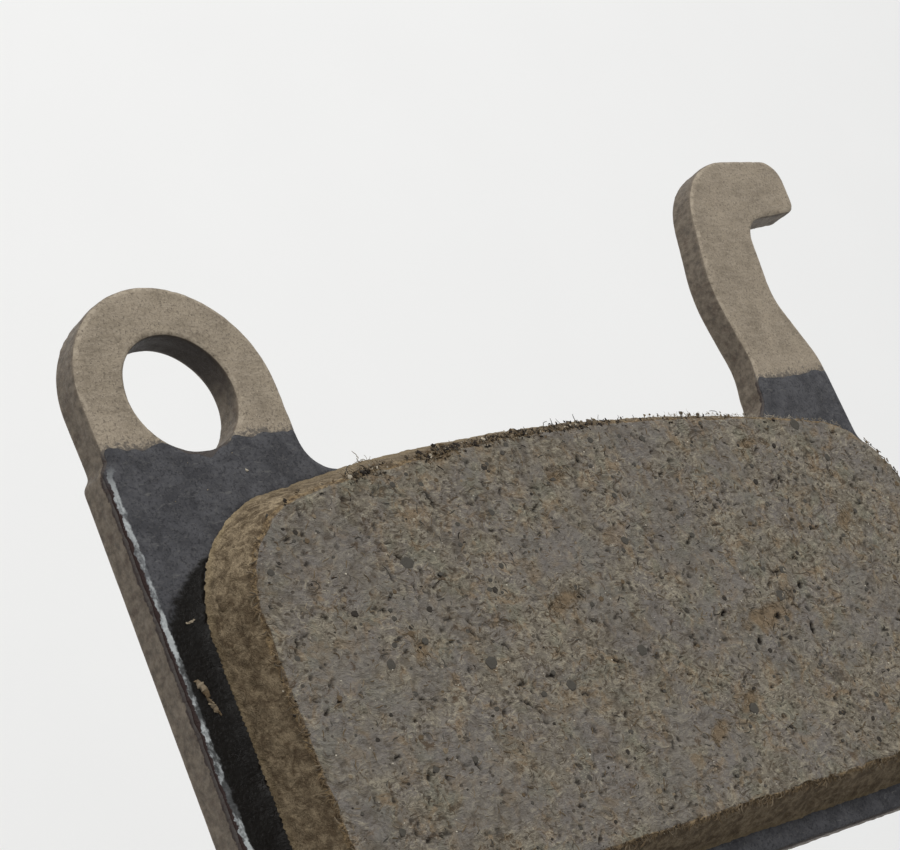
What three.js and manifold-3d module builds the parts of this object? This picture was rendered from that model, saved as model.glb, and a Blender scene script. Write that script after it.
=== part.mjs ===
// A disc-brake pad: a stamped steel backing plate with an eye and a hook for its hanger
// pins, a film of bond coat, and a moulded underlayer and friction block bonded on top.
//
// Millimetres, +Z out of the rubbing face. The outlines are drawn with the middle of the
// eye's hole as (0, 0), X along the pad towards the hook and Y up through the eye, and with
// Z = 0 on the plate's back face. The group is then moved so that its origin lies under the
// middle of the whole pad.

import * as THREE from 'three';
import { mergeVertices } from 'three/addons/utils/BufferGeometryUtils.js';
import Module from 'manifold-3d';

// Backing plate.
const plateThickness = 3.0;
const plateEdgeBreak = 0.2; // chamfer left by tumbling the blank
const plateWidth = 94.1; // between the two torque-taking sides
const plateHeight = 41.5; // crest of the top edge down to the bottom edge
const topEdgeDrop = 6.5; // eye centre down to the crest of the top edge
const topEdgeRadius = 200.0;
const bottomCornerRadius = 9.0;
const sideStep = 0.6; // the left torque side stands this far outside the eye
const sideStepTopY = -5.2;
const sideStepRun = 0.9; // height over which that step comes out
const sideWaist = 0.2; // the eye's left side leans in this much down to the step

// Eye, on the left.
const eyeHoleRadius = 5.1;
const eyeRadius = 9.5;
const bayFilletRadius = 3.0; // where eye and hook run into the top edge

// Hook, on the right.
const hookRootInset = 3.8; // right torque side in to the hook's outer root
const hookRootWidth = 11.8;
const hookStemWidth = 9.2;
const hookStemSetBack = 0.1; // the back of the stem stands this far outside its root
const hookHeight = 21.0; // eye centre up to the hook's flat top
const hookReach = 4.9; // tip past the right torque side
const hookTipDepth = 7.4; // flat top down to the underside of the tip
const hookUndersideRise = 1.1; // the underside climbs this much towards the tip
const hookTipTaper = 0.7; // the end of the tip leans back this much
const hookTipRadius = 1.4;
const hookTopRadius = 2.4;
const hookBackLean = 4.4; // the back leans over this much from its waist to the flat top
const hookBackRadius = 9.5;
const hookWaistRadius = 14.0;
const hookWaistY = 6.0;
const hookMouthLean = 1.5; // the stem's outer edge leans out this much up to the tip
const hookMouthRadius = 3.4; // under the tip, where it meets the stem
const hookNeckY = -2.6; // where the root starts to narrow
const hookNeckHeight = 7.1; // height over which root narrows to stem
const hookNeckRadius = 6.0;
const hookNeckSwell = 0.9; // the back stands this far in at the neck
const shoulderDrop = 4.6; // slope from the hook's root out to the torque side
const shoulderStart = 5.3; // crest of the top edge down to the start of that slope
const shoulderInnerRadius = 1.5;
const shoulderOuterRadius = 4.0;

// Holes in the plate that the moulding compound is pressed into.
const keyHoleRadius = 6.0;
const keyHoleSpacing = 42.0;
const keyPlugClearance = 0.05;
const keyPlugRecess = 0.4; // each plug ends this far short of the back face

// Bond coat on the plate's front face.
const coatThickness = 0.15;
const coatLineY = -4.3; // straight mask line across eye and hook
const coatEdgeInset = 0.45;

// Underlayer and friction block.
const liningHeight = 4.1; // plate face to rubbing face
const underlayerThickness = 0.9;
const liningDraftRun = 1.9; // the sides lean in this much over the whole height
const liningSideInset = 3.9; // torque side in to the foot of the block
const liningTopInset = 0.1;
const liningBottomInset = 2.0;
const liningTopCornerRadius = 12.0;
const liningBottomCornerRadius = 8.0;

const arcSegments = 20;
const holeSegments = 48;

// Places that follow from those sizes.
const plateLeft = -(eyeRadius + sideStep);
const plateRight = plateLeft + plateWidth;
const plateMiddleX = (plateLeft + plateRight) / 2;
const plateCrestY = -topEdgeDrop;
const plateBottomY = plateCrestY - plateHeight;
const topEdgeCentre = new THREE.Vector2(plateMiddleX, plateCrestY - topEdgeRadius);
const coatFrontZ = plateThickness + coatThickness;
const underlayerFrontZ = coatFrontZ + underlayerThickness;
const liningFrontZ = plateThickness + liningHeight;
const keyHoleCentres = [-1, 1].map(
  (side) => new THREE.Vector2(plateMiddleX + (side * keyHoleSpacing) / 2, plateCrestY - plateHeight / 2),
);

// ---- outlines: lists of points, counter-clockwise ----

function arcPoints(centre, radius, startAngle, endAngle, segments = arcSegments) {
  const points = [];
  for (let i = 0; i <= segments; i += 1) {
    const angle = startAngle + ((endAngle - startAngle) * i) / segments;
    const spoke = new THREE.Vector2(radius * Math.cos(angle), radius * Math.sin(angle));
    points.push(spoke.add(centre));
  }
  return points;
}

function circlePoints(centre, radius) {
  return arcPoints(centre, radius, 0, 2 * Math.PI, holeSegments).slice(0, -1);
}

// The arc that touches both edges of a corner.
function roundedCorner(before, corner, after, radius) {
  const toBefore = before.clone().sub(corner).normalize();
  const toAfter = after.clone().sub(corner).normalize();
  const halfAngle = Math.acos(toBefore.dot(toAfter)) / 2;
  const bisector = toBefore.clone().add(toAfter).normalize();
  const centre = corner.clone().addScaledVector(bisector, radius / Math.sin(halfAngle));
  const tangentLength = radius / Math.tan(halfAngle);
  const start = corner.clone().addScaledVector(toBefore, tangentLength).sub(centre);
  const end = corner.clone().addScaledVector(toAfter, tangentLength).sub(centre);
  const turn = Math.atan2(start.cross(end), start.dot(end));
  const segments = Math.max(4, Math.ceil((Math.abs(turn) / Math.PI) * arcSegments));
  return arcPoints(centre, radius, start.angle(), start.angle() + turn, segments);
}

// An outline from corners, each [x, y, radius], and ready-made runs of points.
function outlineFrom(entries) {
  const runs = entries.map((entry) => {
    const isRun = entry[0] instanceof THREE.Vector2;
    return isRun ? entry : [new THREE.Vector2(entry[0], entry[1])];
  });
  return runs.flatMap((run, index) => {
    const radius = run.length === 1 ? entries[index][2] : 0;
    if (!radius) {
      return run;
    }
    const before = runs.at(index - 1).at(-1);
    const after = runs[(index + 1) % runs.length][0];
    return roundedCorner(before, run[0], after, radius);
  });
}

// The same outline moved inwards, point for point.
function drawnIn(outline, distance) {
  const inward = (from, to) => {
    const along = to.clone().sub(from).normalize();
    return new THREE.Vector2(-along.y, along.x);
  };
  return outline.map((point, index) => {
    const normalBefore = inward(outline.at(index - 1), point);
    const normalAfter = inward(point, outline[(index + 1) % outline.length]);
    const mitre = normalBefore.clone().add(normalAfter).normalize();
    return point.clone().addScaledVector(mitre, distance / mitre.dot(normalBefore));
  });
}

// The top edge between two x positions, right to left, lowered by an inset.
function topEdge(rightX, leftX, inset) {
  const radius = topEdgeRadius - inset;
  const angleAt = (x) => Math.acos((x - topEdgeCentre.x) / radius);
  return arcPoints(topEdgeCentre, radius, angleAt(rightX), angleAt(leftX));
}

// A corner arc that touches an upright side and the top edge. reach is the distance of its
// middle from the middle of the top edge's own arc, and side is +1 for a middle to the
// right of the upright side.
function cornerAtTopEdge(sideX, side, radius, reach) {
  const x = sideX + side * radius;
  const y = topEdgeCentre.y + Math.sqrt(reach ** 2 - (x - topEdgeCentre.x) ** 2);
  const centre = new THREE.Vector2(x, y);
  return { centre, outwardAngle: centre.clone().sub(topEdgeCentre).angle() };
}

// The concave fillet between the top edge and an upright side of the eye or the hook.
function bayFillet(sideX, side) {
  const reach = topEdgeRadius + bayFilletRadius;
  const { centre, outwardAngle } = cornerAtTopEdge(sideX, side, bayFilletRadius, reach);
  const sideAngle = side > 0 ? Math.PI : 2 * Math.PI;
  return arcPoints(centre, bayFilletRadius, sideAngle, outwardAngle + Math.PI);
}

// Hook corners, from the slope under its root, round the tip and down its back.
function hookCorners() {
  const rootRight = plateRight - hookRootInset;
  const rootLeft = rootRight - hookRootWidth;
  const stemRight = rootLeft - hookStemSetBack + hookStemWidth;
  const stemLeft = rootLeft - hookStemSetBack;
  const tipRight = plateRight + hookReach;
  const undersideY = hookHeight - hookTipDepth;
  const shoulderY = plateCrestY - shoulderStart;
  return [
    [plateRight, shoulderY - shoulderDrop, shoulderOuterRadius],
    [rootRight, shoulderY, shoulderInnerRadius],
    [rootRight, hookNeckY, hookNeckRadius],
    [stemRight, hookNeckY + hookNeckHeight, hookNeckRadius],
    [stemRight + hookMouthLean, undersideY, hookMouthRadius],
    [tipRight - hookTipTaper, undersideY + hookUndersideRise, hookTipRadius],
    [tipRight, hookHeight, hookTopRadius],
    [stemLeft + hookBackLean, hookHeight, hookBackRadius],
    [stemLeft, hookWaistY, hookWaistRadius],
    [rootLeft + hookNeckSwell, hookNeckY, hookNeckRadius],
  ];
}

function plateOutline() {
  const rootLeft = plateRight - hookRootInset - hookRootWidth;
  const eyeFillet = bayFillet(eyeRadius, 1).toReversed();
  const hookFillet = bayFillet(rootLeft, -1);
  return outlineFrom([
    [plateLeft, plateBottomY, bottomCornerRadius],
    [plateRight, plateBottomY, bottomCornerRadius],
    ...hookCorners(),
    hookFillet,
    topEdge(hookFillet.at(-1).x, eyeFillet[0].x, 0).slice(1, -1),
    eyeFillet,
    arcPoints(new THREE.Vector2(0, 0), eyeRadius, 0, Math.PI, 2 * arcSegments),
    [sideWaist - eyeRadius, sideStepTopY],
    [plateLeft, sideStepTopY - sideStepRun],
  ]);
}

// The foot of the block: straight sides, the plate's top arc and four round corners.
function liningOutline() {
  const left = plateLeft + liningSideInset;
  const right = plateRight - liningSideInset;
  const bottom = plateBottomY + liningBottomInset;
  const reach = topEdgeRadius - liningTopInset - liningTopCornerRadius;
  const rightCorner = cornerAtTopEdge(right, -1, liningTopCornerRadius, reach);
  const leftCorner = cornerAtTopEdge(left, 1, liningTopCornerRadius, reach);
  const rightArc = arcPoints(rightCorner.centre, liningTopCornerRadius, 0, rightCorner.outwardAngle);
  const leftArc = arcPoints(leftCorner.centre, liningTopCornerRadius, leftCorner.outwardAngle, Math.PI);
  return outlineFrom([
    [left, bottom, liningBottomCornerRadius],
    [right, bottom, liningBottomCornerRadius],
    rightArc,
    topEdge(rightArc.at(-1).x, leftArc[0].x, liningTopInset).slice(1, -1),
    leftArc,
  ]);
}

// ---- solids ----

function shapeFrom(outline, holes) {
  const shape = new THREE.Shape(outline);
  holes.forEach((hole) => shape.holes.push(new THREE.Path(hole)));
  return shape;
}

// A closed solid between two outlines that match point for point.
function loft(lowOutline, lowZ, highOutline, highZ) {
  const count = lowOutline.length;
  const indices = [];
  THREE.ShapeUtils.triangulateShape(lowOutline, []).forEach(([a, b, c]) => {
    indices.push(a, c, b, count + a, count + b, count + c);
  });
  for (let i = 0; i < count; i += 1) {
    const next = (i + 1) % count;
    indices.push(i, next, count + next, i, count + next, count + i);
  }
  const positions = [
    ...lowOutline.flatMap(({ x, y }) => [x, y, lowZ]),
    ...highOutline.flatMap(({ x, y }) => [x, y, highZ]),
  ];
  const geometry = new THREE.BufferGeometry();
  geometry.setAttribute('position', new THREE.Float32BufferAttribute(positions, 3));
  geometry.setIndex(indices);
  return geometry;
}

const wasm = await Module();
wasm.setup();

function toSolid(geometry) {
  const bare = geometry.clone();
  bare.deleteAttribute('normal');
  bare.deleteAttribute('uv');
  const merged = mergeVertices(bare);
  return new wasm.Manifold(new wasm.Mesh({
    numProp: 3,
    vertProperties: new Float32Array(merged.attributes.position.array),
    triVerts: new Uint32Array(merged.index.array),
  }));
}

function toGeometry(solid) {
  const { vertProperties, triVerts } = solid.getMesh();
  const geometry = new THREE.BufferGeometry();
  geometry.setAttribute('position', new THREE.BufferAttribute(vertProperties, 3));
  geometry.setIndex(new THREE.BufferAttribute(triVerts, 1));
  return geometry;
}

// Stamped from flat steel, with broken edges all round and in every hole.
function backingPlate() {
  const holes = [circlePoints(new THREE.Vector2(0, 0), eyeHoleRadius)];
  keyHoleCentres.forEach((centre) => holes.push(circlePoints(centre, keyHoleRadius)));
  const geometry = new THREE.ExtrudeGeometry(shapeFrom(plateOutline(), holes), {
    depth: plateThickness - 2 * plateEdgeBreak,
    bevelThickness: plateEdgeBreak,
    bevelSize: plateEdgeBreak,
    bevelOffset: -plateEdgeBreak,
    bevelSegments: 1,
  });
  return geometry.translate(0, 0, plateEdgeBreak);
}

// A film over the plate's front face, short of its edges and of the mask line.
function bondCoat() {
  const outline = drawnIn(plateOutline(), coatEdgeInset);
  const holes = [circlePoints(new THREE.Vector2(0, 0), eyeHoleRadius + coatEdgeInset)];
  keyHoleCentres.forEach((centre) => holes.push(circlePoints(centre, keyHoleRadius + coatEdgeInset)));
  const film = new THREE.ExtrudeGeometry(shapeFrom(outline, holes), {
    depth: coatThickness,
    bevelEnabled: false,
  });
  film.translate(0, 0, plateThickness);
  const belowMask = new THREE.BoxGeometry(2 * plateWidth, 2 * plateHeight, 4 * plateThickness);
  belowMask.translate(plateMiddleX, coatLineY - plateHeight, plateThickness);
  return toGeometry(toSolid(film).intersect(toSolid(belowMask)));
}

// How far the block's leaning sides have come in at a height.
function draftAt(z) {
  return (liningDraftRun * (z - plateThickness)) / liningHeight;
}

function liningSlice(lowZ, highZ) {
  const foot = liningOutline();
  return loft(drawnIn(foot, draftAt(lowZ)), lowZ, drawnIn(foot, draftAt(highZ)), highZ);
}

// The underlayer grips the plate with a plug of its own compound in each keying hole.
function underlayer() {
  const plugRadius = keyHoleRadius - keyPlugClearance;
  const middleZ = (coatFrontZ + underlayerFrontZ) / 2;
  let solid = toSolid(liningSlice(coatFrontZ, underlayerFrontZ));
  keyHoleCentres.forEach((centre) => {
    const plug = new THREE.ExtrudeGeometry(shapeFrom(circlePoints(centre, plugRadius), []), {
      depth: middleZ - keyPlugRecess,
      bevelEnabled: false,
    });
    solid = solid.add(toSolid(plug.translate(0, 0, keyPlugRecess)));
  });
  return toGeometry(solid);
}

function frictionBlock() {
  return liningSlice(underlayerFrontZ, liningFrontZ);
}

// ---- the pad ----

function piece(name, geometry, color, roughness, metalness) {
  geometry.computeVertexNormals();
  const material = new THREE.MeshStandardMaterial({ color, roughness, metalness, flatShading: true });
  const mesh = new THREE.Mesh(geometry, material);
  mesh.name = name;
  return mesh;
}

const pad = new THREE.Group();
pad.add(piece('backing_plate', backingPlate(), 0x8a8078, 0.62, 0.75));
pad.add(piece('bond_coat', bondCoat(), 0x2f3238, 0.55, 0.0));
pad.add(piece('underlayer', underlayer(), 0x7d6b52, 0.95, 0.0));
pad.add(piece('friction_block', frictionBlock(), 0x77736b, 0.9, 0.0));

// Put the origin on the back face, under the middle of the whole pad.
const middle = new THREE.Box3().setFromObject(pad).getCenter(new THREE.Vector3());
pad.position.set(-middle.x, -middle.y, 0);

export default pad;
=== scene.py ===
import itertools
import math

import bpy
import numpy as np
from mathutils import Matrix, Vector, kdtree
from mathutils.geometry import delaunay_2d_cdt


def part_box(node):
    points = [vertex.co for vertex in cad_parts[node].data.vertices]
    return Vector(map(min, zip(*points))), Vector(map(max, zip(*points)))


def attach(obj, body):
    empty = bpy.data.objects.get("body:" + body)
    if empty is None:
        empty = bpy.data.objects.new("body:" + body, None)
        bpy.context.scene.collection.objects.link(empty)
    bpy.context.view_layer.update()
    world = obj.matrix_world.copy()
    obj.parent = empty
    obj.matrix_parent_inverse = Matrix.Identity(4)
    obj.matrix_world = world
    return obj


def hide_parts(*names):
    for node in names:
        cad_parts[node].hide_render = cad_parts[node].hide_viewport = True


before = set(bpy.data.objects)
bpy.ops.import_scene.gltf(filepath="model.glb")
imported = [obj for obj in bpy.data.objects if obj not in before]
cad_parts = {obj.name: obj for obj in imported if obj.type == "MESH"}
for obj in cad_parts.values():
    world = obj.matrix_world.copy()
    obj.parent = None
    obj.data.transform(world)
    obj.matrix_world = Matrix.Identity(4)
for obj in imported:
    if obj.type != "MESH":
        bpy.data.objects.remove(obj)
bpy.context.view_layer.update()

MM = 0.001
BODY = "root"

# Heights of the CAD solids, in millimetres above the plate's back face.
PLATE_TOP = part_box("backing_plate")[1].z / MM
COAT_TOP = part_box("bond_coat")[1].z / MM
UNDERLAYER_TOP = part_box("underlayer")[1].z / MM
PLUG_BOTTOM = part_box("underlayer")[0].z / MM
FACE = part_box("friction_block")[1].z / MM
EDGE_BREAK = 0.2
# In millimetres: the coat's upper end along Y, the middle of the eye, and the step in the left side.
MASK_LINE = 9.2
EYE = (-39.31, 13.5)
STEP_CORNER = (-49.4, 7.3)

# What the materials' display colours are multiplied by, to match the photo under this light.
GAIN = 1.02
STEEL_GAIN = 0.96
LINING_GAIN = 1.12


# ---------------- noise

def lattice(ix, iy, iz, seed):
    """A fixed random number from 0 to 1 for each whole-number point."""
    h = (ix * 374761393 + iy * 668265263 + iz * 1274126177 + seed * 974634777) & 0xFFFFFFFF
    h = ((h ^ (h >> 13)) * 1274126177) & 0xFFFFFFFF
    h = ((h ^ (h >> 15)) * 668265263) & 0xFFFFFFFF
    return ((h ^ (h >> 16)) & 0xFFFF) / 65535.0


def noise(p, size, seed):
    """Smooth noise from -1 to 1 with bumps about size millimetres across."""
    q = p / size
    base = np.floor(q).astype(np.int64)
    f = q - base
    f = f * f * (3 - 2 * f)
    total = np.zeros(len(p))
    for corner in itertools.product((0, 1), repeat=3):
        weight = np.ones(len(p))
        for axis in range(3):
            weight *= f[:, axis] if corner[axis] else 1 - f[:, axis]
        total += weight * lattice(*(base[:, a] + corner[a] for a in range(3)), seed)
    return total * 2 - 1


def fbm(p, size, seed):
    """Noise with two finer layers added."""
    total, reach = np.zeros(len(p)), 0.0
    for k in range(3):
        total += noise(p, size * 0.5 ** k, seed + k) * 0.55 ** k
        reach += 0.55 ** k
    return total / reach


def cells(p, size, seed):
    """Distances to the nearest two of many scattered points, and the nearest one's own random number."""
    q = p / size
    base = np.floor(q).astype(np.int64)
    near, second, own = np.full(len(p), 9.0), np.full(len(p), 9.0), np.zeros(len(p))
    for step in itertools.product((-1, 0, 1), repeat=3):
        c = [base[:, a] + step[a] for a in range(3)]
        d = np.sqrt(sum((c[a] + lattice(*c, seed + a) - q[:, a]) ** 2 for a in range(3)))
        closer = d < near
        second = np.where(closer, near, np.minimum(second, d))
        own = np.where(closer, lattice(*c, seed + 3), own)
        near = np.where(closer, d, near)
    return near, second, own


def ease(value, low, high):
    """Goes smoothly from 0 to 1 as the value goes from low to high."""
    t = np.clip((value - low) / (high - low), 0, 1)
    return t * t * (3 - 2 * t)


def at_height(points, z):
    return np.column_stack([points, np.full(len(points), float(z))])


# ---------------- outlines taken from the CAD nodes

def welded(node):
    """A CAD node's points in millimetres, each one once, and its faces as lists of their numbers."""
    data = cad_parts[node].data
    points = np.array([v.co for v in data.vertices]) / MM
    unique, index = np.unique(np.round(points, 3), axis=0, return_inverse=True)
    index = index.ravel()
    return unique, [[int(index[v]) for v in poly.vertices] for poly in data.polygons]


def outlines(node, z, flat=False):
    """The closed loops of a node's edges at height z, or, if flat, the border of its flat face there."""
    points, faces = welded(node)
    level = np.abs(points[:, 2] - z) < 0.02
    count = {}
    for face in faces:
        if flat and not all(level[v] for v in face):
            continue
        for a, b in zip(face, face[1:] + face[:1]):
            if level[a] and level[b]:
                key = (min(a, b), max(a, b))
                count[key] = count.get(key, 0) + 1
    links = {}
    for (a, b), n in count.items():
        if not flat or n == 1:
            links.setdefault(a, []).append(b)
            links.setdefault(b, []).append(a)
    loops, seen = [], set()
    for start in sorted(links):
        if start in seen:
            continue
        loop, here = [start], start
        seen.add(start)
        while True:
            ahead = [n for n in links[here] if n not in seen]
            if not ahead:
                break
            here = ahead[0]
            seen.add(here)
            loop.append(here)
        loops.append(points[loop][:, :2])
    return sorted(loops, key=lambda l: -abs(area(l)))


def area(loop):
    x, y = loop[:, 0], loop[:, 1]
    return 0.5 * float(np.sum(x * np.roll(y, -1) - np.roll(x, -1) * y))


def rounded(loop):
    """The loop with its corners smoothed off a little."""
    for _ in range(2):
        loop = (np.roll(loop, 1, 0) + 2 * loop + np.roll(loop, -1, 0)) / 4
    return loop


def even(loop, step, hole=False):
    """The same loop with points a fixed step apart, running so that the solid is on its left."""
    if (area(loop) < 0) != hole:
        loop = loop[::-1]
    closed = np.vstack([loop, loop[:1]])
    run = np.concatenate([[0], np.cumsum(np.linalg.norm(np.diff(closed, axis=0), axis=1))])
    at = np.linspace(0, run[-1], int(round(run[-1] / step)), endpoint=False)
    return rounded(np.column_stack([np.interp(at, run, closed[:, 0]), np.interp(at, run, closed[:, 1])]))


def inward(loop):
    """Unit vectors at the loop's points that point into the solid."""
    tangent = np.roll(loop, -2, 0) - np.roll(loop, 2, 0)
    tangent /= np.linalg.norm(tangent, axis=1)[:, None]
    return np.column_stack([-tangent[:, 1], tangent[:, 0]])


def shrunk(loop, distance):
    return loop + inward(loop) * distance


def within(points, loops):
    """Which points are inside the loops, holes left out."""
    odd = np.zeros(len(points), bool)
    for loop in loops:
        ax, ay = loop[:, 0], loop[:, 1]
        bx, by = np.roll(ax, -1), np.roll(ay, -1)
        rise = np.where(by == ay, 1e-12, by - ay)
        for s in range(0, len(points), 4000):
            x, y = points[s:s + 4000, :1], points[s:s + 4000, 1:]
            cross = ((ay > y) != (by > y)) & (x < ax + (y - ay) * (bx - ax) / rise)
            odd[s:s + 4000] ^= (cross.sum(1) % 2).astype(bool)
    return odd


class Nearest:
    """Finds which point of some loops is nearest, and how far off it is."""

    def __init__(self, loops):
        points = np.vstack(loops)
        self.tree = kdtree.KDTree(len(points))
        for i, p in enumerate(points):
            self.tree.insert((p[0], p[1], 0), i)
        self.tree.balance()

    def __call__(self, points):
        return np.array([self.tree.find((p[0], p[1], 0))[2] for p in points])

    def index(self, points):
        return np.array([self.tree.find((p[0], p[1], 0))[1] for p in points])


# ---------------- closed solids

def scatter(loops, step, rng, margin=0.7, keep=None):
    """Points on a shaken triangular grid inside the loops."""
    low, high = np.vstack(loops).min(0), np.vstack(loops).max(0)
    xs = np.arange(low[0], high[0], step)
    ys = np.arange(low[1], high[1], step * 0.866)
    grid = np.array([(x + (row % 2) * step / 2, y) for row, y in enumerate(ys) for x in xs])
    grid += rng.uniform(-0.22, 0.22, grid.shape) * step
    if keep is not None:
        grid = grid[keep(grid)]
    grid = grid[within(grid, loops)]
    return grid[Nearest(loops)(grid) > margin * step]


def lid(rings, inner):
    """Triangles that fill the area between rings. They number the rings' points, then the inner ones."""
    starts = np.cumsum([0] + [len(r) for r in rings])
    points = np.vstack(rings + [inner])
    edges = []
    for start, ring in zip(starts, rings):
        n = len(ring)
        edges += [(int(start + i), int(start + (i + 1) % n)) for i in range(n)]
    out, _, faces, origin, _, _ = delaunay_2d_cdt([Vector(p) for p in points], edges, [], 0, 1e-7)
    back = [o[0] for o in origin]
    faces = np.array([[back[v] for v in f] for f in faces])
    doubtful = (faces < starts[-1]).all(1)
    centre = points[faces].mean(1)
    ok = ~doubtful
    ok[doubtful] = within(centre[doubtful], rings)
    return faces[ok]


class Solid:
    """A closed mesh: walls that follow a profile down each loop, and a filled top and bottom."""

    def __init__(self, loops, profile, top_points, bottom_points):
        # The profile lists (inset, height) pairs from the top to the bottom.
        self.points, self.faces, self.row = [], [], []
        rows = len(profile)
        tops, bottoms = [], []
        count = 0
        for loop in loops:
            normal, n = inward(loop), len(loop)
            for k, (inset, z) in enumerate(profile):
                self.points.append(at_height(loop + normal * inset, z))
                self.row.append(np.full(n, k))
            i = np.arange(n)
            j = (i + 1) % n
            for k in range(rows - 1):
                a, b = count + k * n, count + (k + 1) * n
                self.faces += np.column_stack([a + i, b + i, b + j, a + j]).tolist()
            tops.append((count + i, self.points[-rows][:, :2]))
            bottoms.append((count + (rows - 1) * n + i, self.points[-1][:, :2]))
            count += rows * n
        for ends, inner, z, flip in ((tops, top_points, profile[0][1], False),
                                     (bottoms, bottom_points, profile[-1][1], True)):
            index = np.concatenate([e[0] for e in ends] + [count + np.arange(len(inner))])
            faces = index[lid([e[1] for e in ends], inner)]
            self.faces += (faces[:, ::-1] if flip else faces).tolist()
            self.points.append(at_height(inner, z))
            self.row.append(np.full(len(inner), rows if flip else -1))
            count += len(inner)
        self.points = np.vstack(self.points)
        self.row = np.concatenate(self.row)


def placed(name, data):
    """A new object in the scene."""
    thing = bpy.data.objects.new(name, data)
    bpy.context.scene.collection.objects.link(thing)
    return thing


def mesh_object(name, points, faces, finish, replaces=(), smooth=True):
    """A piece in metres, riding on the pad's one body."""
    mesh = bpy.data.meshes.new(name)
    mesh.from_pydata((np.asarray(points) * MM).tolist(), [], [list(f) for f in faces])
    mesh.update()
    mesh.polygons.foreach_set("use_smooth", [smooth] * len(mesh.polygons))
    if smooth:
        mesh.set_sharp_from_angle(angle=math.radians(62))
    mesh.materials.append(finish)
    piece = placed(name, mesh)
    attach(piece, BODY)
    if replaces:
        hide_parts(*replaces)
    return piece


def normals(points, faces):
    """Area-weighted normals of the points."""
    out = np.zeros_like(points)
    for size in (3, 4):
        group = np.array([f for f in faces if len(f) == size])
        if len(group) == 0:
            continue
        p = points[group]
        if size == 4:
            n = np.cross(p[:, 2] - p[:, 0], p[:, 3] - p[:, 1])
        else:
            n = np.cross(p[:, 1] - p[:, 0], p[:, 2] - p[:, 0])
        for k in range(size):
            np.add.at(out, group[:, k], n)
    return out / np.maximum(np.linalg.norm(out, axis=1), 1e-12)[:, None]


def paint(piece, **layers):
    """Stores one number per point under each name, for the piece's material to read."""
    for name, values in layers.items():
        layer = piece.data.attributes.new(name, "FLOAT", "POINT")
        layer.data.foreach_set("value", np.asarray(values, np.float32))


# ---------------- node materials

def tone(rgb, gain):
    """A display colour, 0 to 255, as the linear colour that a shader takes, made brighter by gain."""
    out = []
    for c in rgb:
        c /= 255
        c = c / 12.92 if c < 0.04045 else ((c + 0.055) / 1.055) ** 2.4
        out.append(min(1.0, c * gain))
    return (*out, 1.0)


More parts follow.
